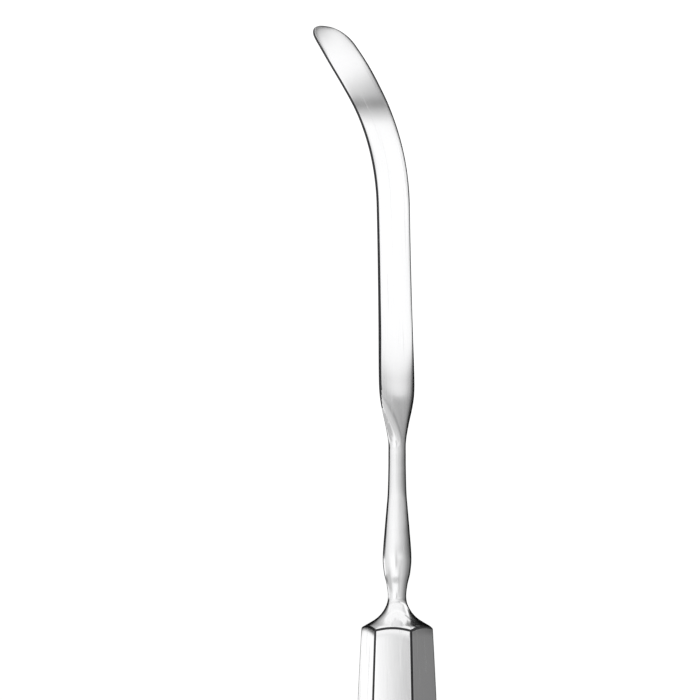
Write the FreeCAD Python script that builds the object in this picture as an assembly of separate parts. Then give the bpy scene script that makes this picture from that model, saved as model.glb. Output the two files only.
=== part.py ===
import FreeCAD, Part
import math
import os

# Periosteal elevator of the dental set: a thin round-ended blade, forged in one with its neck,
# baluster and hexagonal bolster, on a hollow hexagonal handle of two pressed half shells.
# Millimetres. The origin is the centre of the flat on the butt, +Z runs up the handle to the
# blade, the blade is as wide as Y and its end bends towards -X.

# A hexagon's flat is this share of the way from its axis to its corners
flat_share = math.cos(math.radians(30))

# Heights along the axis
shell_low = 5.0
shell_high = 90.0
belly_height = 58.0
shoulder_height = 102.0
neck_top = 122.0
root_height = 128.0

# Hexagonal handle, from the axis to a corner
butt_corner = 4.6
belly_corner = 5.4
shoulder_corner = 4.16
wall = 0.8

# Turned neck and baluster down to the trumpet flare: (radius, height)
turned_outline = [
    (0.975, 122.0),
    (0.985, 120.2),
    (1.06, 117.4),
    (1.23, 115.3),
    (1.41, 113.2),
    (1.615, 110.1),
    (1.47, 108.4),
    (1.17, 107.1),
    (1.025, 105.9),
    (1.10, 105.15),
    (1.35, 104.5),
    (1.77, 103.85),
    (2.40, 103.25),
    (3.36, 102.65),
    (4.90, 101.78),
]

# Blade stations: (distance from the root, half width, half thickness, half edge, crown of outer face)
blade_stations = [
    (-6.0, 0.975, 0.975, 0.4875, 0.4875),
    (-5.0, 0.985, 0.975, 0.4875, 0.4875),
    (-3.9, 1.36, 0.965, 0.48, 0.485),
    (-2.6, 1.97, 0.92, 0.44, 0.48),
    (-1.2, 2.65, 0.85, 0.36, 0.49),
    (0.2, 3.12, 0.78, 0.26, 0.52),
    (2.0, 3.29, 0.72, 0.18, 0.52),
    (8.0, 3.14, 0.64, 0.15, 0.36),
    (15.0, 3.05, 0.54, 0.14, 0.18),
    (21.0, 3.05, 0.46, 0.13, 0.08),
    (27.0, 3.14, 0.43, 0.13, 0.05),
    (32.0, 3.31, 0.41, 0.12, 0.04),
    (36.0, 3.60, 0.36, 0.11, 0.035),
    (40.0, 3.76, 0.25, 0.10, 0.03),
    (46.5, 3.30, 0.12, 0.08, 0.02),
]
edge_rounding = 0.12
slender_share = 0.5

# Bend of the blade, in its own plane: a straight run that leans a little, a bend, and a gentler one
lean = math.radians(1.39)
straight_length = 21.7
bend_radius = 24.5
bend_end = math.radians(32.4)
tip_radius = 80.0
blade_length = 45.25

# Round end of the blade
end_half_width = 3.70
end_depth = 2.6

# Tang, its plug and bush, and the cross pin
tang_radius = 1.5
tang_low = 54.0
tang_chamfer = 0.4
fit_gap = 0.02
plug_length = 12.0
bush_low = 56.0
bush_length = 4.0
pin_radius = 0.6
pin_height = 84.0

# Butt plug
butt_flat_radius = 2.8
butt_round_height = 2.2
butt_round_spare = 1.0
butt_bulge_out = 0.62
butt_bulge_up = 0.3
butt_spigot_length = 6.0

# Braze filler
ring_height = 0.6
ring_width = 0.6
groove_radius = 2.4
groove_depth = 0.5
seam_width = 0.5

# Construction: how far the tool solids reach past the metal, and the spans in a long curve
up = FreeCAD.Vector(0, 0, 1)
centre = FreeCAD.Vector(0, 0, 0)
reach = 12.0
hexagon_top = neck_top + 1.0
curve_spans = 16


def corner_radius(height):
    """Distance from the axis to a corner of the handle: it swells to a belly and draws in at each end."""
    if height > belly_height:
        share = (height - belly_height) / (shoulder_height - belly_height)
        return belly_corner - (belly_corner - shoulder_corner) * share**2
    share = (belly_height - height) / belly_height
    return belly_corner - (belly_corner - butt_corner) * share**2


def layer(low, high, radius=reach):
    """A round slice of space between two heights."""
    return Part.makeCylinder(radius, high - low, FreeCAD.Vector(0, 0, low))


def ribbon(inner, outer):
    """A deep solid whose two long sides follow a distance from the axis that changes with height."""
    heights = [hexagon_top * step / curve_spans for step in range(curve_spans + 1)]
    sides = []
    for distance in (inner, outer):
        curve = Part.BSplineCurve()
        curve.interpolate([FreeCAD.Vector(distance(height), -reach, height) for height in heights])
        sides.append(curve)
    first, second = sides
    ends = [
        Part.LineSegment(first.StartPoint, second.StartPoint),
        Part.LineSegment(first.EndPoint, second.EndPoint),
    ]
    wire = Part.Wire(Part.sortEdges([edge.toShape() for edge in sides + ends])[0])
    return Part.Face(wire).extrude(FreeCAD.Vector(0, 2 * reach, 0))


def hexagon(inset=0.0):
    """The handle's hexagonal bar at full height, its flats moved in by the inset."""

    def flat(height):
        return corner_radius(height) * flat_share - inset

    slab = ribbon(lambda height: -flat(height), flat)
    bar = slab
    for angle in (60, 120):
        turned = slab.copy()
        turned.rotate(centre, up, angle)
        bar = bar.common(turned)
    return bar


outer_bar = hexagon()
inner_bar = hexagon(wall)
ring_bar = hexagon(wall + ring_width)


def between(bar, low, high):
    """The stretch of a bar between two heights."""
    return bar.common(layer(low, high))


def arc_step(radius, start, end):
    """How far an arc carries the centre line, from one angle off the axis to another."""
    across = radius * (math.cos(end) - math.cos(start))
    return FreeCAD.Vector(across, 0, radius * (math.sin(end) - math.sin(start)))


def blade_point(distance):
    """Place and angle of the blade's centre line at a distance from its root."""
    place = FreeCAD.Vector(0, 0, root_height)
    if distance < 0:
        return place + FreeCAD.Vector(0, 0, distance), 0.0
    along = min(distance, straight_length)
    place += FreeCAD.Vector(-math.sin(lean), 0, math.cos(lean)) * along
    bent = min(lean + max(distance - straight_length, 0) / bend_radius, bend_end)
    place += arc_step(bend_radius, lean, bent)
    rest = max(distance - straight_length - bend_radius * (bend_end - lean), 0)
    angle = bent + rest / tip_radius
    return place + arc_step(tip_radius, bent, angle), angle


def blade_frame(distance):
    """Placement whose X is the blade's face, Y its width and Z its length."""
    place, angle = blade_point(distance)
    turn = FreeCAD.Rotation(FreeCAD.Vector(0, 1, 0), -math.degrees(angle))
    return FreeCAD.Placement(place, turn)


def lens_section(distance, half_width, half_thick, half_edge, crown):
    """Closed cross-section of the blade: a flatter outer face, a rounder inner one, two rounded edges."""
    frame = blade_frame(distance)
    side = half_width * (1 - flat_share)
    if half_thick < slender_share * half_width:
        side = min(edge_rounding, side)
    inner = half_width - side
    inner_crown = 2 * (half_thick - half_edge) - crown
    corners = [(half_edge, -inner), (half_edge, inner), (-half_edge, inner), (-half_edge, -inner)]
    outer_middle = (half_edge + crown, 0)
    inner_middle = (-half_edge - inner_crown, 0)
    middles = [outer_middle, (0, half_width), inner_middle, (0, -half_width)]

    def place(point):
        return frame.multVec(FreeCAD.Vector(point[0], point[1], 0))

    edges = []
    for index, middle in enumerate(middles):
        start = place(corners[index])
        end = place(corners[(index + 1) % 4])
        edges.append(Part.Arc(start, place(middle), end).toShape())
    return Part.Wire(edges)


def tip_cutter():
    """What is ground away around the blade's round end."""
    start = blade_length - end_depth
    block = Part.makeBox(2 * reach, 2 * reach, reach, FreeCAD.Vector(-reach, -reach, 0))
    ellipse = Part.Ellipse(
        FreeCAD.Vector(-reach, end_half_width, 0),
        FreeCAD.Vector(-reach, 0, end_depth),
        FreeCAD.Vector(-reach, 0, 0),
    )
    round_end = Part.Face(Part.Wire(ellipse.toShape())).extrude(FreeCAD.Vector(2 * reach, 0, 0))
    cutter = block.cut(round_end)
    cutter.Placement = blade_frame(start)
    return cutter


def blade_shank():
    """Forging: blade, neck, baluster, trumpet flare, hexagonal bolster and tang."""
    blade = Part.makeLoft([lens_section(*row) for row in blade_stations], True, False)
    blade = blade.cut(tip_cutter())
    flare = Part.BSplineCurve()
    flare.interpolate([FreeCAD.Vector(radius, 0, height) for radius, height in turned_outline])
    top = FreeCAD.Vector(0, 0, neck_top)
    low = FreeCAD.Vector(0, 0, shell_high)
    rim = FreeCAD.Vector(turned_outline[-1][0], 0, shell_high)
    edges = [
        flare.toShape(),
        Part.makeLine(flare.EndPoint, rim),
        Part.makeLine(rim, low),
        Part.makeLine(low, top),
        Part.makeLine(top, flare.StartPoint),
    ]
    turned = Part.Face(Part.Wire(edges)).revolve(centre, up, 360)
    turned = turned.common(between(outer_bar, shell_high, hexagon_top))
    tang = layer(tang_low + tang_chamfer, shell_high, tang_radius)
    point = Part.makeCone(
        tang_radius - tang_chamfer, tang_radius, tang_chamfer, FreeCAD.Vector(0, 0, tang_low)
    )
    whole = turned.fuse([blade, tang, point]).removeSplitter()
    return whole.cut(pin_hole())


def pin_bar(radius):
    """A round bar across the handle at the height of the pin."""
    start = FreeCAD.Vector(-reach, 0, pin_height)
    return Part.makeCylinder(radius, 2 * reach, start, FreeCAD.Vector(1, 0, 0))


def pin_hole():
    return pin_bar(pin_radius + fit_gap)


def tang_pin():
    """Dowel through shells, plug and tang, its ends ground flush with the flats."""
    return pin_bar(pin_radius).common(outer_bar)


def handle_shell(side):
    """One pressed half of the hollow handle; its edges run along two opposite corners."""
    tube = between(outer_bar, shell_low, shell_high).cut(inner_bar)
    half = Part.makeBox(reach, 2 * reach, shell_high, FreeCAD.Vector(0, -reach, 0))
    if side < 0:
        half.translate(FreeCAD.Vector(-reach, 0, 0))
    return tube.common(half).cut(pin_hole())


def front_plug():
    """Solid plug in the mouth of the shells that the tang is brazed into."""
    plug = between(inner_bar, shell_high - plug_length, shell_high)
    groove = layer(shell_high - groove_depth, shell_high, groove_radius)
    bore = layer(tang_low, shell_high, tang_radius + fit_gap)
    return plug.cut(groove).cut(bore).cut(pin_hole())


def bolster_braze_ring():
    """Filler in the groove under the bolster."""
    ring = layer(shell_high - groove_depth, shell_high, groove_radius - fit_gap)
    return ring.cut(layer(tang_low, shell_high, tang_radius + fit_gap))


def wall_ring(low):
    """Filler that runs round the inside of the shells."""
    return between(inner_bar, low, low + ring_height).cut(ring_bar)


def plug_braze_ring():
    return wall_ring(shell_high - plug_length - ring_height)


def butt_braze_ring():
    return wall_ring(shell_low + butt_spigot_length)


def seam_braze(side):
    """Filler along the inside of one of the handle's two seams."""

    def seam(height):
        return corner_radius(height) - wall / flat_share - seam_width

    strip = ribbon(seam, lambda height: reach)
    strip.rotate(centre, up, 90 * side)
    low = shell_low + butt_spigot_length + ring_height
    high = shell_high - plug_length - ring_height
    return between(inner_bar, low, high).common(strip)


def tang_bush():
    """Bush that centres the tail of the tang in the hollow handle."""
    bush = between(inner_bar, bush_low, bush_low + bush_length)
    bush = bush.cut(layer(tang_low, shell_high, tang_radius + fit_gap))
    return bush.cut(seam_braze(1)).cut(seam_braze(-1))


def butt_plug():
    """Solid end of the handle: a rounded hexagonal head with a flat, and a spigot in the shells."""
    rim = corner_radius(0) + butt_round_spare
    flat = FreeCAD.Vector(butt_flat_radius, 0, 0)
    side = FreeCAD.Vector(rim, 0, butt_round_height)
    bulge = butt_flat_radius + butt_bulge_out * (rim - butt_flat_radius)
    middle = FreeCAD.Vector(bulge, 0, butt_bulge_up * butt_round_height)
    top = FreeCAD.Vector(rim, 0, shell_low)
    axis_top = FreeCAD.Vector(0, 0, shell_low)
    edges = [
        Part.makeLine(centre, flat),
        Part.Arc(flat, middle, side).toShape(),
        Part.makeLine(side, top),
        Part.makeLine(top, axis_top),
        Part.makeLine(axis_top, centre),
    ]
    head = Part.Face(Part.Wire(edges)).revolve(centre, up, 360)
    head = head.common(outer_bar)
    spigot = between(inner_bar, shell_low, shell_low + butt_spigot_length)
    return head.fuse(spigot).removeSplitter()


parts = {
    "blade_shank": blade_shank(),
    "handle_shell_front": handle_shell(1),
    "handle_shell_back": handle_shell(-1),
    "front_plug": front_plug(),
    "tang_pin": tang_pin(),
    "tang_bush": tang_bush(),
    "butt_plug": butt_plug(),
    "bolster_braze_ring": bolster_braze_ring(),
    "plug_braze_ring": plug_braze_ring(),
    "butt_braze_ring": butt_braze_ring(),
    "seam_braze_left": seam_braze(1),
    "seam_braze_right": seam_braze(-1),
}

os.makedirs("parts", exist_ok=True)
for name, shape in parts.items():
    print(name, len(shape.Solids), shape.isValid(), round(shape.Volume, 3), shape.BoundBox)
    shape.exportStep("parts/" + name + ".step")
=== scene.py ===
import bmesh
import bpy
import math
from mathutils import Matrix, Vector


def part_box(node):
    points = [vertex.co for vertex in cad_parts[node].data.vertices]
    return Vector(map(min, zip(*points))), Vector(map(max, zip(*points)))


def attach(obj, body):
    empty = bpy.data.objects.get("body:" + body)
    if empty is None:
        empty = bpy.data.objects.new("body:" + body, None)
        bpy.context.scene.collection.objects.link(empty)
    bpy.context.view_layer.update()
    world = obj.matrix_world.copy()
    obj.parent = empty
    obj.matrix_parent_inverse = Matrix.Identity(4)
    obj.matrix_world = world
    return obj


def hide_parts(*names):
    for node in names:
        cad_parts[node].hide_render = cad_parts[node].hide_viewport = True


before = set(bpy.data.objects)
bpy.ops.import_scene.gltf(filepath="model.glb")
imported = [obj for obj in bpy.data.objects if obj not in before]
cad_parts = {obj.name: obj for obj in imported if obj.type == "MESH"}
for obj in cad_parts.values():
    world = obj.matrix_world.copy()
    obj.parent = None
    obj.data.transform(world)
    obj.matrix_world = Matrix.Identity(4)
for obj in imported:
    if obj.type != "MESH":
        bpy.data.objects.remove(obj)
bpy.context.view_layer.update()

mm = 0.001


# The forging: one drop-forged bar of martensitic stainless steel, ground and satin polished.
# From the tail up it is a round tang, a hexagonal bolster, a trumpet flare, a turned baluster
# and neck, and a thin bent blade with a round end. The tang is brazed into the handle.

tang_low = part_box("blade_shank")[0].z / mm
bolster_low = 90.0
tang_radius = 1.5
tang_chamfer = 0.4
belly_height = 58.0
belly_corner = 5.4
shoulder_height = 102.0
shoulder_corner = 4.16
butt_corner = 4.6
flat_crown = 0.05
around = 96
side_angle = math.radians(60)

# An edge runs along a corner of the hexagon if both its ends lie below this height, this close to
# the corner's distance from the axis and to its angle, and this far apart in height
handle_top = 102.6
corner_depth = 0.15
corner_turn = math.radians(0.4)
corner_run = 0.3

# Edges that bend less than this look smooth, and softened corners take each piece's second material, a
# near-black steel that paints shade along them
crease_angle = math.radians(28)
painted_shade_slot = 1

turned_outline = [
    (4.90, 101.78),
    (3.36, 102.65),
    (2.40, 103.25),
    (1.77, 103.85),
    (1.35, 104.5),
    (1.10, 105.15),
    (1.025, 105.9),
    (1.17, 107.1),
    (1.47, 108.4),
    (1.615, 110.1),
    (1.41, 113.2),
    (1.23, 115.3),
    (1.06, 117.4),
    (0.985, 120.2),
    (0.975, 122.0),
]

# (distance from the root, half width, half thickness, half edge, crown of the outer face, how flat)
root_height = 128.0
blade_stations = [
    (-7.0, 0.975, 0.975, 0.4875, 0.4875, 0.0),
    (-6.0, 0.975, 0.975, 0.4875, 0.4875, 0.0),
    (-5.0, 0.985, 0.975, 0.4875, 0.4875, 0.0),
    (-3.9, 1.36, 0.965, 0.48, 0.485, 0.05),
    (-2.6, 1.97, 0.92, 0.44, 0.48, 0.2),
    (-1.2, 2.65, 0.85, 0.36, 0.49, 0.5),
    (0.2, 3.12, 0.78, 0.26, 0.52, 0.8),
    (2.0, 3.29, 0.72, 0.18, 0.52, 1.0),
    (8.0, 3.14, 0.64, 0.15, 0.36, 1.0),
    (15.0, 3.05, 0.54, 0.14, 0.18, 1.0),
    (21.0, 3.05, 0.46, 0.13, 0.08, 1.0),
    (27.0, 3.14, 0.43, 0.13, 0.05, 1.0),
    (32.0, 3.31, 0.41, 0.12, 0.04, 1.0),
    (36.0, 3.60, 0.36, 0.11, 0.035, 1.0),
    (40.0, 3.76, 0.25, 0.10, 0.03, 1.0),
    (46.5, 3.30, 0.12, 0.08, 0.02, 1.0),
]
blade_step = 0.5
lean = math.radians(1.39)
straight_length = 21.7
bend_radius = 24.5
bend_end = math.radians(32.4)
tip_radius = 80.0
blade_length = 45.25
end_depth = 2.6
end_fullness = 2.3
end_rings = 14
end_gap = 0.25
edge_sharpness = 12
round_sharpness = 2.2
round_until = -1.0
sharp_from = 7.0


def through(rows, at):
    """Smooth values between rows of (place, value, ...), whose places rise."""
    last = len(rows) - 2
    k = max(0, min(last, sum(1 for row in rows[1:] if row[0] <= at)))
    a, b = rows[k], rows[k + 1]
    before, after = rows[max(k - 1, 0)], rows[min(k + 2, len(rows) - 1)]
    span = b[0] - a[0]
    t = (at - a[0]) / span
    values = []
    for i in range(1, len(a)):
        slope_a = (b[i] - before[i]) / (b[0] - before[0]) * span
        slope_b = (after[i] - a[i]) / (after[0] - a[0]) * span
        values.append(
            a[i] * (2 * t**3 - 3 * t**2 + 1)
            + slope_a * (t**3 - 2 * t**2 + t)
            + b[i] * (3 * t**2 - 2 * t**3)
            + slope_b * (t**3 - t**2)
        )
    return values


def corner_radius(height):
    """Distance from the axis to a corner of the handle at a height."""
    if height > belly_height:
        share = (height - belly_height) / (shoulder_height - belly_height)
        return belly_corner - (belly_corner - shoulder_corner) * share**2
    share = (belly_height - height) / belly_height
    return belly_corner - (belly_corner - butt_corner) * share**2


def hexagon_radius(angle, height):
    """Distance from the axis to the handle's surface: six flats, crowned a little by the polishing."""
    off = angle - side_angle * round(angle / side_angle)
    apothem = corner_radius(height) * math.cos(side_angle / 2)
    across = math.tan(off) / math.tan(side_angle / 2)
    return (apothem - flat_crown + flat_crown * (1 - across**2)) / math.cos(off)


def angles_of(count):
    return [2 * math.pi * i / count for i in range(count)]


def round_ring(radius, height):
    return [(radius * math.cos(a), radius * math.sin(a), height) for a in angles_of(around)]


def hexagon_ring(height):
    places = []
    for a in angles_of(around):
        radius = hexagon_radius(a, height)
        places.append((radius * math.cos(a), radius * math.sin(a), height))
    return places


def along_curve(points, steps):
    """Points at even steps along a smooth line through these (radius, height) points."""
    length = 0.0
    rows = [(0.0, *points[0])]
    for first, second in zip(points, points[1:]):
        length += math.dist(first, second)
        rows.append((length, *second))
    return [through(rows, length * i / steps) for i in range(steps + 1)]


def arc_step(radius, start, end):
    """How far an arc carries the centre line, from one angle off the axis to another."""
    return radius * (math.cos(end) - math.cos(start)), radius * (math.sin(end) - math.sin(start))


def blade_place(distance):
    """Centre of the blade and its angle off the axis at a distance from the root."""
    if distance < 0:
        return 0.0, root_height + distance, 0.0
    along = min(distance, straight_length)
    bent = min(lean + max(distance - straight_length, 0) / bend_radius, bend_end)
    rest = max(distance - straight_length - bend_radius * (bend_end - lean), 0)
    angle = bent + rest / tip_radius
    x1, z1 = arc_step(bend_radius, lean, bent)
    x2, z2 = arc_step(tip_radius, bent, angle)
    return x1 + x2 - along * math.sin(lean), root_height + z1 + z2 + along * math.cos(lean), angle


def blade_section(distance):
    """Places and straightened places round the blade: a round neck that flattens to a thin lens."""
    width, thick, edge, crown, flatness = through(blade_stations, distance)
    flatness = min(max(flatness, 0.0), 1.0)
    share = min(max((distance - round_until) / (sharp_from - round_until), 0.0), 1.0)
    sharpness = round_sharpness + (edge_sharpness - round_sharpness) * share**2
    to_end = (blade_length - distance) / end_depth
    if to_end < 1:
        rest = 1 - max(to_end, 0.0)
        width *= (1 - rest**end_fullness) ** (1 / end_fullness)
        shrink = math.sqrt(1 - rest**edge_sharpness)
        thick *= shrink
        edge *= shrink
        crown *= shrink
    x0, z0, angle = blade_place(distance)
    places = []
    grain = []
    for a in angles_of(around):
        u = abs(math.sin(a))
        outer = math.cos(a) >= 0
        bulge = crown if outer else 2 * (thick - edge) - crown
        round_x = math.copysign(thick * math.sqrt(max(0.0, 1 - u * u)), math.cos(a))
        flat_x = edge * math.sqrt(max(0.0, 1 - u**sharpness)) + bulge * (1 - u * u)
        flat_x = math.copysign(flat_x, math.cos(a))
        x = (1 - flatness) * round_x + flatness * flat_x
        y = width * math.sin(a)
        places.append((x0 + x * math.cos(angle), y, z0 + x * math.sin(angle)))
        grain.append((x, y, root_height + distance))
    return places, grain


def start_ring(bm, places):
    """A ring of vertices for a skin to grow from."""
    ring = bmesh.ops.create_circle(bm, segments=len(places), radius=mm)["verts"]
    return set_ring(bm, ring, places)


def set_ring(bm, ring, places, grain=None):
    layer = bm.verts.layers.float_vector["grain"]
    for vert, place, straight in zip(ring, places, grain or places):
        vert.co = Vector(place) * mm
        vert[layer] = Vector(straight) * mm
    return ring


def grow(bm, ring, places, grain=None, closed=True):
    """Extrude a ring of vertices and set the new ring on its places."""
    pairs = list(zip(ring, ring[1:] + ring[:1]))
    if not closed:
        pairs = pairs[:-1]
    edges = [bm.edges.get(pair) for pair in pairs]
    made = bmesh.ops.extrude_edge_only(bm, edges=edges)["geom"]
    fresh = {item for item in made if isinstance(item, bmesh.types.BMVert)}
    new = []
    for vert in ring:
        new.append(next(e.other_vert(vert) for e in vert.link_edges if e.other_vert(vert) in fresh))
    return set_ring(bm, new, places, grain)


def new_skin():
    bm = bmesh.new()
    bm.verts.layers.float_vector.new("grain")
    return bm


def soften(bm, edges, width, segments):
    """Round off edges as polishing does, and give them the near-black second material: painted shade, darker
    than the ground faces.
    """
    bmesh.ops.bevel(
        bm, geom=edges, offset=width * mm, offset_type="OFFSET", segments=segments, profile=0.5,
        affect="EDGES", material=painted_shade_slot, clamp_overlap=True,
    )


def ring_edges(bm, ring):
    return [bm.edges.get(pair) for pair in zip(ring, ring[1:] + ring[:1])]


def on_corner(vert):
    """Whether a point lies on the outside of one of the hexagon's corners."""
    height = vert.co.z / mm
    turn = math.atan2(vert.co.y, vert.co.x) % side_angle
    at_corner = abs(turn - side_angle / 2) < corner_turn
    outside = math.hypot(vert.co.x, vert.co.y) > (corner_radius(height) - corner_depth) * mm
    return height < handle_top and at_corner and outside


def corner_edges(bm):
    """The edges that run along the hexagon's corners."""
    found = []
    for edge in bm.edges:
        first, second = edge.verts
        long_enough = abs(first.co.z - second.co.z) > corner_run * mm
        if long_enough and on_corner(first) and on_corner(second):
            found.append(edge)
    return found


def finish_piece(bm, name, material, node):
    """Turn the skin into a smooth-shaded piece that rides with the handle and stands for a CAD node."""
    bmesh.ops.recalc_face_normals(bm, faces=bm.faces)
    for face in bm.faces:
        face.smooth = True
    for edge in bm.edges:
        edge.smooth = edge.calc_face_angle(0.0) < crease_angle
    mesh = bpy.data.meshes.new(name)
    bm.to_mesh(mesh)
    bm.free()
    piece = bpy.data.objects.new(name, mesh)
    bpy.context.scene.collection.objects.link(piece)
    mesh.materials.append(material)
    # The second slot holds the near-black painted shade for softened corners and outlines
    mesh.materials.append(painted_shade_corner)
    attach(piece, "root")
    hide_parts(node)


def steel(name, colour, roughness, line_depth, straightened=False):
    """Ground stainless steel: fine lines along the piece, cloudy polish and a few stray scratches."""
    material = bpy.data.materials.new(name)
    material.use_nodes = True
    nodes = material.node_tree.nodes
    links = material.node_tree.links
    shader = nodes["Principled BSDF"]
    shader.inputs["Metallic"].default_value = 1.0
    if straightened:
        source = nodes.new("ShaderNodeAttribute")
        source.attribute_name = "grain"
        where = source.outputs["Vector"]
    else:
        source = nodes.new("ShaderNodeTexCoord")
        where = source.outputs["Object"]

    def noise(scale, detail, rough=0.5):
        mapping = nodes.new("ShaderNodeMapping")
        mapping.inputs["Scale"].default_value = scale
        links.new(where, mapping.inputs["Vector"])
        texture = nodes.new("ShaderNodeTexNoise")
        texture.inputs["Scale"].default_value = 1.0
        texture.inputs["Detail"].default_value = detail
        texture.inputs["Roughness"].default_value = rough
        links.new(mapping.outputs["Vector"], texture.inputs["Vector"])
        return texture.outputs["Fac"]

    def spread(value, low, high, to_low, to_high):
        step = nodes.new("ShaderNodeMapRange")
        step.inputs["From Min"].default_value = low
        step.inputs["From Max"].default_value = high
        step.inputs["To Min"].default_value = to_low
        step.inputs["To Max"].default_value = to_high
        links.new(value, step.inputs["Value"])
        return step.outputs["Result"]

    def combine(kind, first, second):
        step = nodes.new("ShaderNodeMath")
        step.operation = kind
        links.new(first, step.inputs[0])
        links.new(second, step.inputs[1])
        return step.outputs["Value"]

    lines = noise((7000.0, 7000.0, 90.0), 4.0, 0.65)
    clouds = noise((260.0, 260.0, 110.0), 3.0)
    scratch = noise((2600.0, 2600.0, 45.0), 1.0)
    stray = spread(scratch, 0.66, 0.72, 0.0, 1.0)

    tint = nodes.new("ShaderNodeMix")
    tint.data_type = "RGBA"
    tint.inputs["A"].default_value = (*[c * 0.93 for c in colour], 1.0)
    tint.inputs["B"].default_value = (*[min(1.0, c * 1.03) for c in colour], 1.0)
    shade = combine("ADD", spread(lines, 0.3, 0.7, 0.0, 0.5), spread(clouds, 0.3, 0.7, 0.0, 0.5))
    links.new(shade, tint.inputs["Factor"])
    links.new(tint.outputs["Result"], shader.inputs["Base Color"])

    line_rough = spread(lines, 0.3, 0.7, roughness * 0.85, roughness * 1.15)
    rough = combine("ADD", line_rough, spread(clouds, 0.3, 0.7, -0.02, 0.03))
    rough = combine("ADD", rough, spread(stray, 0.0, 1.0, 0.0, 0.12))
    links.new(rough, shader.inputs["Roughness"])

    bump = nodes.new("ShaderNodeBump")
    bump.inputs["Strength"].default_value = 1.0
    bump.inputs["Distance"].default_value = line_depth
    links.new(combine("SUBTRACT", lines, spread(stray, 0.0, 1.0, 0.0, 0.6)), bump.inputs["Height"])
    links.new(bump.outputs["Normal"], shader.inputs["Normal"])
    return material


# Near-black steel for softened corners, folds and the blade's outline: painted shade that draws the edges
# dark
painted_shade_corner = steel("painted_shade_steel", (0.045, 0.045, 0.047), 0.35, 0.0000012)
polished_steel = steel("satin_polished_steel", (0.86, 0.86, 0.865), 0.14, 0.0000012, straightened=True)

bm = new_skin()
ring = start_ring(bm, round_ring(tang_radius - tang_chamfer, tang_low))
bmesh.ops.contextual_create(bm, geom=ring)
ring = grow(bm, ring, round_ring(tang_radius, tang_low + tang_chamfer))
ring = grow(bm, ring, round_ring(tang_radius, bolster_low))
ring = grow(bm, ring, hexagon_ring(bolster_low))
sharp = ring_edges(bm, ring)
flare_steps = 150
settling = 12
flare_neck = 104
shoulder_gap = 0.3
flare = along_curve(turned_outline, flare_steps)


def flare_height(radius):
    """Height of the flare's surface at a radius outside its narrow part."""
    for (r1, z1), (r2, z2) in zip(flare, flare[1:]):
        if r2 <= radius <= r1:
            return z1 + (z2 - z1) * (r1 - radius) / (r1 - r2)
    return flare[0][1]


def meeting_ring(profile, start):
    """Where a turned profile meets the hexagon's surface, as (angle, radius, height) all the way round."""
    rows = []
    for a in angles_of(around):
        height = start
        for _ in range(settling):
            radius = hexagon_radius(a, height)
            height = profile(radius)
        rows.append((a, radius, height))
    return rows


def hexagon_between(meeting, level, share):
    """A ring on the hexagon, part of the way from a level to where the profile meets it."""
    places = []
    for a, _, meets in meeting:
        height = level + (meets - level) * share
        radius = hexagon_radius(a, height)
        places.append((radius * math.cos(a), radius * math.sin(a), height))
    return places


scallops = meeting_ring(flare_height, shoulder_height)

bolster_rings = 8
for i in range(1, bolster_rings + 1):
    ring = grow(bm, ring, hexagon_between(scallops, bolster_low, i / (bolster_rings + 1)))
ring = grow(bm, ring, [(r * math.cos(a), r * math.sin(a), height) for a, r, height in scallops])
sharp += ring_edges(bm, ring)
shoulder_inside = min(radius for _, radius, _ in scallops) - shoulder_gap
for radius, height in flare[1:]:
    if radius < shoulder_inside or height > flare_neck:
        ring = grow(bm, ring, round_ring(radius, height))

# Faces along the blade's edges and round its end take the near-black second material: a painted dark outline,
# painted shade along the edges, thinning away towards the root
rim_share = 0.92
rim_thinnest = 0.998
rim_start = -1.5
rim_taper = 2.5
rim = set()
distance = blade_stations[1][0] + blade_step
while distance < blade_length - end_depth:
    ring = grow(bm, ring, *blade_section(distance))
    if distance >= rim_start:
        taper = max(0.0, 1 - (distance - rim_start) / rim_taper)
        limit = rim_share + (rim_thinnest - rim_share) * taper
        rim.update(v for v, a in zip(ring, angles_of(around)) if abs(math.sin(a)) > limit)
    distance += blade_step
for i in range(end_rings + 1):
    share = math.sin(math.pi / 2 * i / (end_rings + end_gap))
    ring = grow(bm, ring, *blade_section(blade_length - end_depth * (1 - share)))
    rim.update(v for v, a in zip(ring, angles_of(around)) if max(abs(math.sin(a)), share) > rim_share)
bmesh.ops.contextual_create(bm, geom=ring)
# Faces lying wholly on the outline take the painted-shade material
for face in bm.faces:
    if rim.issuperset(face.verts):
        face.material_index = painted_shade_slot
bolster_softening = 0.17
soften(bm, sharp + corner_edges(bm), bolster_softening, 2)
finish_piece(bm, "forged_blade", polished_steel, "blade_shank")


# The handle: two half shells pressed from stainless sheet, each with three flats, brazed edge to
# edge along two opposite corners of the hexagon and ground flush, then brushed lengthwise.

satin_steel = steel("brushed_handle_steel", (0.80, 0.80, 0.805), 0.23, 0.0000016)
shell_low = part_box("handle_shell_front")[0].z / mm
shell_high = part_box("handle_shell_front")[1].z / mm
shell_wall = 0.8
shell_rings = 40
shell_softening = 0.12
seam_clearance = 0.5


def half_ring(height, facing):
    """Places along half of the hexagon, from one seam corner to the other."""
    places = []
    for i in range(around // 2 + 1):
        a = -math.pi / 2 + math.pi * i / (around // 2)
        radius = hexagon_radius(a, height)
        places.append((facing * radius * math.cos(a), facing * radius * math.sin(a), height))
    return places


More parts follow.
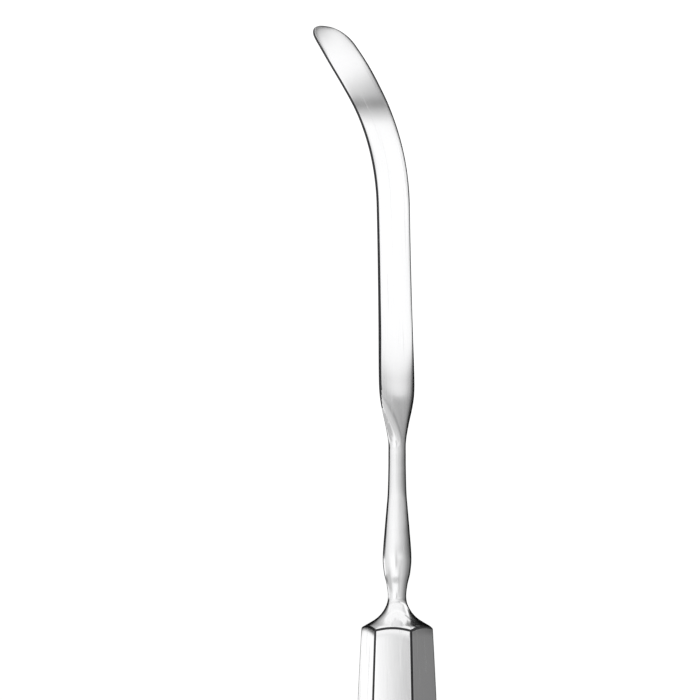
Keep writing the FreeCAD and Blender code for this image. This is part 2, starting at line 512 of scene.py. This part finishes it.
def half_shell(name, facing, node):
    """One shell: half of the hexagon's skin, thickened inwards, its two folds softened and painted dark as
    shade.
    """
    bm = new_skin()
    places = half_ring(shell_low, facing)
    ring = [bm.verts.new() for _ in places]
    for pair in zip(ring, ring[1:]):
        bm.edges.new(pair)
    set_ring(bm, ring, places)
    for i in range(1, shell_rings + 1):
        height = shell_low + (shell_high - shell_low) * i / shell_rings
        ring = grow(bm, ring, half_ring(height, facing), closed=False)
    bmesh.ops.recalc_face_normals(bm, faces=bm.faces)
    middle = max(bm.faces, key=lambda face: face.calc_center_median().x * facing)
    if middle.normal.x * facing < 0:
        bmesh.ops.reverse_faces(bm, faces=bm.faces)
    bmesh.ops.solidify(bm, geom=bm.faces[:] + bm.edges[:] + bm.verts[:], thickness=shell_wall * mm)
    folds = [edge for edge in corner_edges(bm) if abs(edge.verts[0].co.x) > seam_clearance * mm]
    soften(bm, folds, shell_softening, 3)
    finish_piece(bm, name, satin_steel, node)


half_shell("pressed_shell_front", 1, "handle_shell_front")
half_shell("pressed_shell_back", -1, "handle_shell_back")


# The butt plug: a turned and milled stainless plug whose rounded head closes the hollow handle,
# with a small flat for standing. Its spigot is brazed into the shells.

butt_flat_radius = 2.8
flat_rings = (0.7, 1.4, 2.2, 2.65, butt_flat_radius)
butt_round_height = 2.2
butt_round_spare = 1.0
butt_rim = butt_corner + butt_round_spare
dome_rings = 10
head_rings = 4
head_softening = 0.1
spigot_length = 6.0
spigot_gap = 0.03


def butt_height(radius):
    """Height of the rounded end at a radius: an arc from the flat to the rim."""
    share = max(0.0, (radius - butt_flat_radius) / (butt_rim - butt_flat_radius))
    return butt_round_height * (1 - math.sqrt(max(0.0, 1 - share**2)))


bm = new_skin()
ring = start_ring(bm, round_ring(flat_rings[0], 0.0))
bmesh.ops.contextual_create(bm, geom=ring)
for radius in flat_rings[1:]:
    ring = grow(bm, ring, round_ring(radius, 0.0))
head_rim = meeting_ring(butt_height, 0.0)
for i in range(1, dome_rings + 1):
    places = []
    for a, radius, _ in head_rim:
        r = butt_flat_radius + (radius - butt_flat_radius) * i / dome_rings
        places.append((r * math.cos(a), r * math.sin(a), butt_height(r)))
    ring = grow(bm, ring, places)
head_edges = ring_edges(bm, ring)
for i in range(1, head_rings + 1):
    ring = grow(bm, ring, hexagon_between(head_rim, shell_low, 1 - i / head_rings))
head_edges += ring_edges(bm, ring)
spigot_ring = []
for a in angles_of(around):
    radius = hexagon_radius(a, shell_low) - shell_wall - spigot_gap
    spigot_ring.append((radius * math.cos(a), radius * math.sin(a)))
for height in (shell_low, shell_low + spigot_length):
    ring = grow(bm, ring, [(x, y, height) for x, y in spigot_ring])
bmesh.ops.contextual_create(bm, geom=ring)
soften(bm, head_edges + corner_edges(bm), head_softening, 2)
finish_piece(bm, "butt_end", satin_steel, "butt_plug")


# The cross pin: a hard-drawn stainless dowel through shells, plug and tang. Its peened ends are
# ground almost flush with two opposite flats.

turned_steel = steel("turned_steel", (0.68, 0.68, 0.685), 0.3, 0.000002)
pin_low, pin_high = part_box("tang_pin")
pin_radius = (pin_high.z - pin_low.z) / 2
pin_proud = 0.02 * mm
pin_reach = pin_high.x + pin_proud
pin_height = (pin_high.z + pin_low.z) / 2
pin_crown = 0.03 * mm
crown_step = pin_crown * 0.4
crown_radius = pin_radius * 0.6

bm = new_skin()
profile = [
    (-pin_reach, 0.0),
    (-pin_reach + crown_step, crown_radius),
    (-pin_reach + pin_crown, pin_radius),
    (pin_reach - pin_crown, pin_radius),
    (pin_reach - crown_step, crown_radius),
    (pin_reach, 0.0),
]
verts = [bm.verts.new((x, 0.0, pin_height + r)) for x, r in profile]
for pair in zip(verts, verts[1:]):
    bm.edges.new(pair)
bmesh.ops.spin(
    bm, geom=bm.verts[:] + bm.edges[:], cent=(0, 0, pin_height), axis=(1, 0, 0),
    angle=2 * math.pi, steps=48, use_merge=True, use_duplicate=False,
)
bmesh.ops.remove_doubles(bm, verts=bm.verts[:], dist=0.000001)
finish_piece(bm, "cross_pin", turned_steel, "tang_pin")


# Inside the handle: the turned plug and bush that carry the tang, and the silver braze that
# flowed round them and along the seams. They keep the shapes they are machined or flow to.


def braze(name):
    """Silver brazing filler: pale gold, rippled where it froze."""
    material = bpy.data.materials.new(name)
    material.use_nodes = True
    nodes = material.node_tree.nodes
    links = material.node_tree.links
    shader = nodes["Principled BSDF"]
    shader.inputs["Metallic"].default_value = 1.0
    where = nodes.new("ShaderNodeTexCoord")
    ripple = nodes.new("ShaderNodeTexNoise")
    ripple.inputs["Scale"].default_value = 900.0
    ripple.inputs["Detail"].default_value = 4.0
    links.new(where.outputs["Object"], ripple.inputs["Vector"])
    tint = nodes.new("ShaderNodeValToRGB")
    tint.color_ramp.elements[0].color = (0.55, 0.44, 0.25, 1.0)
    tint.color_ramp.elements[1].color = (0.86, 0.78, 0.58, 1.0)
    links.new(ripple.outputs["Fac"], tint.inputs["Fac"])
    links.new(tint.outputs["Color"], shader.inputs["Base Color"])
    shader.inputs["Roughness"].default_value = 0.34
    bump = nodes.new("ShaderNodeBump")
    bump.inputs["Distance"].default_value = 0.00002
    links.new(ripple.outputs["Fac"], bump.inputs["Height"])
    links.new(bump.outputs["Normal"], shader.inputs["Normal"])
    return material


def dress(node, material):
    """Give a CAD node its finish."""
    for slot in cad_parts[node].material_slots:
        slot.material = material


braze_filler = braze("silver_braze")
for node in ("front_plug", "tang_bush"):
    dress(node, turned_steel)
for node in (
    "bolster_braze_ring", "plug_braze_ring", "butt_braze_ring", "seam_braze_left", "seam_braze_right",
):
    dress(node, braze_filler)


# The studio: a wide pale floor in even white light. Round the object stands a tent of printed paper
# that shows only in the steel: white where the steel should look white, with grey and black
# patches that draw its edges and shade its curves. Angles go round the axis from +X towards +Y.

scene = bpy.context.scene
scene.view_settings.view_transform = "Standard"

room_white = 1.12
world = bpy.data.worlds.new("studio")
scene.world = world
world.use_nodes = True
room_light = world.node_tree.nodes["Background"]
room_light.inputs["Color"].default_value = (1.0, 1.0, 1.0, 1.0)
room_light.inputs["Strength"].default_value = room_white

floor_radius = 6.0
bm = bmesh.new()
bmesh.ops.create_circle(bm, cap_ends=True, segments=128, radius=floor_radius)
mesh = bpy.data.meshes.new("floor")
bm.to_mesh(mesh)
bm.free()
floor = bpy.data.objects.new("floor", mesh)
scene.collection.objects.link(floor)
floor_paint = bpy.data.materials.new("pale_floor")
floor_paint.use_nodes = True
paint_shader = floor_paint.node_tree.nodes["Principled BSDF"]
paint_shader.inputs["Base Color"].default_value = (0.93, 0.93, 0.93, 1.0)
paint_shader.inputs["Roughness"].default_value = 0.9
paint_shader.inputs["Specular IOR Level"].default_value = 0.0
mesh.materials.append(floor_paint)

# Rows of (angle, tone of the paper) round the tent: its dim side first, which two of the rows share
dim_side = (
    (0, 0.75), (20, 0.66), (45, 0.49), (62, 0.45), (74, 0.3), (86, 0.1), (128, 0.06), (165, 0.12), (180, 0.3),
)
floor_row = (
    (-180, 0.3), (-172, 0.5), (-160, 0.73), (-100, 0.71), (-40, 0.71), (-15, 0.76), *dim_side,
)
low_row = (
    (-180, 0.3), (-172, 0.5), (-160, 0.74), (-125, 0.76), (-105, 0.95), (-88, 1.0), (-55, 1.0),
    (-42, 0.9), (-32, 0.78), (-12, 0.82), *dim_side,
)
side_row = (
    (-180, 1.03), (-160, 0.86), (-120, 0.92), (-95, 1.03), (-79, 1.07), (-70, 0.97), (-66, 0.885),
    (-61, 0.77), (-54, 0.84), (-42, 0.9), (-20, 0.82), (0, 0.76), (20, 0.66), (45, 0.50), (62, 0.48),
    (74, 0.3), (86, 0.1), (128, 0.06), (162, 0.1), (168, 1.03), (180, 1.03),
)

# (height in mm, the row of paper at that height)
tent_rows = [
    (-10, floor_row),
    (42, floor_row),
    (56, low_row),
    (76, low_row),
    (86, side_row),
    (104, side_row),
    (108, (
        (-180, 0.3), (-170, 0.5), (-160, 0.84), (-125, 0.93), (-105, 1.0), (-82, 1.01), (-76, 1.0),
        (-70, 0.95), (-66, 0.87), (-61, 0.78), (-54, 0.88), (-40, 0.98), (-20, 0.95), (0, 0.80),
        (20, 0.64), (45, 0.50), (60, 0.42), (72, 0.3), (82, 0.1), (128, 0.06), (165, 0.08), (180, 0.3),
    )),
    (112, (
        (-180, 0.2), (-170, 0.4), (-160, 0.85), (-125, 0.94), (-105, 1.0), (-82, 1.01), (-76, 1.0),
        (-70, 0.96), (-66, 0.89), (-61, 0.82), (-53, 0.94), (-40, 0.96), (-20, 0.90), (0, 0.76),
        (20, 0.62), (45, 0.48), (60, 0.38), (72, 0.25), (80, 0.1), (128, 0.06), (165, 0.08), (180, 0.2),
    )),
    (118, (
        (-180, 0.1), (-172, 0.15), (-160, 0.82), (-124, 0.92), (-86, 0.96), (-56, 0.86), (-19, 0.70),
        (0, 0.66), (18, 0.55), (50, 0.42), (64, 0.32), (76, 0.12), (90, 0.06), (128, 0.05),
        (165, 0.06), (180, 0.1),
    )),
    (124, (
        (-180, 0.1), (-172, 0.15), (-160, 0.86), (-123, 0.98), (-87, 1.0), (-55, 0.98), (-18, 0.86),
        (0, 0.80), (13, 0.76), (28, 0.71), (43, 0.61), (62, 0.55), (74, 0.42), (84, 0.12),
        (128, 0.05), (165, 0.06), (180, 0.1),
    )),
    (135, (
        (-180, 0.2), (-170, 0.2), (-155, 0.9), (-80, 0.97), (-50, 0.95), (-20, 0.76), (13, 0.70), (43, 0.66),
        (64, 0.70), (76, 0.68), (84, 0.45), (92, 0.06), (128, 0.05), (165, 0.06), (180, 0.2),
    )),
    (136.5, (
        (-180, 0.3), (-170, 0.4), (-155, 0.9), (-80, 0.9), (-50, 0.8), (-25, 0.7), (-12, 1.01), (80, 1.01),
        (88, 0.15), (96, 0.06), (128, 0.05), (165, 0.06), (180, 0.3),
    )),
    (141, (
        (-180, 0.3), (-170, 0.4), (-155, 0.9), (-80, 0.9), (-50, 0.8), (-25, 0.7), (-10, 1.02), (79, 1.02),
        (86, 0.15), (94, 0.06), (128, 0.05), (165, 0.06), (180, 0.3),
    )),
    (147, (
        (-180, 0.4), (-170, 0.5), (-155, 0.95), (-80, 0.98), (-40, 0.95), (-5, 0.9), (12, 1.02), (71, 1.02),
        (78, 0.15), (86, 0.06), (128, 0.05), (165, 0.2), (180, 0.4),
    )),
    (161, (
        (-180, 0.5), (-165, 0.7), (-150, 0.98), (-20, 0.98), (10, 0.9), (25, 0.8), (38, 1.02), (63, 1.02),
        (70, 0.3), (80, 0.2), (105, 0.1), (128, 0.05), (154, 0.6), (180, 0.5),
    )),
    (180, (
        (-180, 0.65), (-165, 0.75), (-150, 0.98), (0, 0.98), (30, 0.82), (44, 1.02), (65, 1.02),
        (73, 0.4), (90, 0.25), (105, 0.15), (128, 0.08), (154, 0.65), (180, 0.65),
    )),
    (200, (
        (-180, 0.8), (-150, 0.98), (0, 0.95), (25, 0.82), (42, 0.84), (53, 1.02), (69, 1.02),
        (75, 0.35), (95, 0.2), (128, 0.1), (154, 0.75), (180, 0.8),
    )),
    (216, (
        (-180, 0.84), (-150, 0.88), (-120, 1.0), (0, 0.95), (25, 0.84), (44, 0.86), (56, 1.02), (75, 1.02),
        (81, 0.2), (88, 0.15), (128, 0.15), (154, 0.78), (180, 0.84),
    )),
    (226, (
        (-180, 0.88), (-120, 1.0), (0, 0.95), (44, 0.88), (56, 1.02), (82, 1.02), (88, 0.15), (94, 0.1),
        (128, 0.3), (154, 0.82), (180, 0.88),
    )),
    (236, (
        (-180, 1.0), (0, 0.95), (44, 0.88), (56, 1.02), (91, 1.02), (97, 0.15), (128, 0.4), (154, 0.9),
        (180, 1.0),
    )),
    (245, ((-180, 1.0), (101, 1.02), (108, 0.15), (128, 0.5), (154, 0.95), (180, 1.0))),
    (256, ((-180, 1.0), (108, 1.02), (114, 0.3), (128, 0.6), (154, 0.98), (180, 1.0))),
    (276, ((-180, 1.0), (114, 1.02), (128, 0.8), (154, 0.98), (180, 1.0))),
]

# A grey band slants across the top of the tent, where the bend mirrors it: (angle + height, tone)
band_low = 195
band_angles = (40, 114)
band = (
    (283, 1.02), (291, 0.87), (298, 0.74), (304, 0.54), (309, 0.62), (314, 0.76), (318, 0.84),
    (321, 0.92), (324, 1.0), (327, 1.03), (341, 1.03), (344, 0.93), (346.5, 0.72), (351, 0.5),
)
tent_radius = 0.1
tent_white = 0.86
tent_columns = 144
level_step = 2


def between(rows, at):
    """Straight-line value between rows of (place, value), held beyond the ends."""
    if at <= rows[0][0]:
        return rows[0][1]
    for (a, u), (b, v) in zip(rows, rows[1:]):
        if at <= b:
            return u + (v - u) * (at - a) / (b - a)
    return rows[-1][1]


def tent_glow(angle, height):
    """How strongly the paper shines at an angle and height, so that it mirrors as its printed tone."""
    tone = between([(level, between(row, angle)) for level, row in tent_rows], height)
    if height > band_low and band_angles[0] < angle < band_angles[1]:
        tone = min(tone, between(band, angle + height))
    return tone**2.2 / tent_white


bm = bmesh.new()
glow_layer = bm.verts.layers.float.new("glow")
grid = []
for level in range(tent_rows[0][0], tent_rows[-1][0] + 1, level_step):
    line = []
    for i in range(tent_columns):
        angle = 360 * i / tent_columns - 180
        a = math.radians(angle)
        vert = bm.verts.new((tent_radius * math.cos(a), tent_radius * math.sin(a), level * mm))
        vert[glow_layer] = tent_glow(angle, level)
        line.append(vert)
    grid.append(line)
for lower, upper in zip(grid, grid[1:]):
    for i in range(tent_columns):
        j = (i + 1) % tent_columns
        bm.faces.new((lower[i], lower[j], upper[j], upper[i]))
mesh = bpy.data.meshes.new("paper_tent")
bm.to_mesh(mesh)
bm.free()
tent = bpy.data.objects.new("paper_tent", mesh)
scene.collection.objects.link(tent)
paper = bpy.data.materials.new("printed_paper")
paper.use_nodes = True
shader = paper.node_tree.nodes["Principled BSDF"]
shader.inputs["Base Color"].default_value = (0.0, 0.0, 0.0, 1.0)
shader.inputs["Specular IOR Level"].default_value = 0.0
shader.inputs["Emission Color"].default_value = (1.0, 1.0, 1.0, 1.0)
print_of_paper = paper.node_tree.nodes.new("ShaderNodeAttribute")
print_of_paper.attribute_name = "glow"
paper.node_tree.links.new(print_of_paper.outputs["Fac"], shader.inputs["Emission Strength"])
mesh.materials.append(paper)
tent.visible_camera = False
tent.visible_shadow = False
tent.visible_diffuse = False

camera_data = bpy.data.cameras.new("camera")
camera = bpy.data.objects.new("camera", camera_data)
scene.collection.objects.link(camera)
scene.camera = camera
camera_data.lens = 180.0
camera_data.sensor_width = 36.0
camera_angle = math.radians(38)
camera_distance = 0.3938
camera_height = 0.1335
aside = -0.0053
right = Vector((math.cos(camera_angle), math.sin(camera_angle), 0.0))
back = Vector((math.sin(camera_angle), -math.cos(camera_angle), 0.0))
camera.location = back * camera_distance + right * aside + Vector((0, 0, camera_height))
camera.rotation_euler = (math.pi / 2, 0.0, camera_angle)
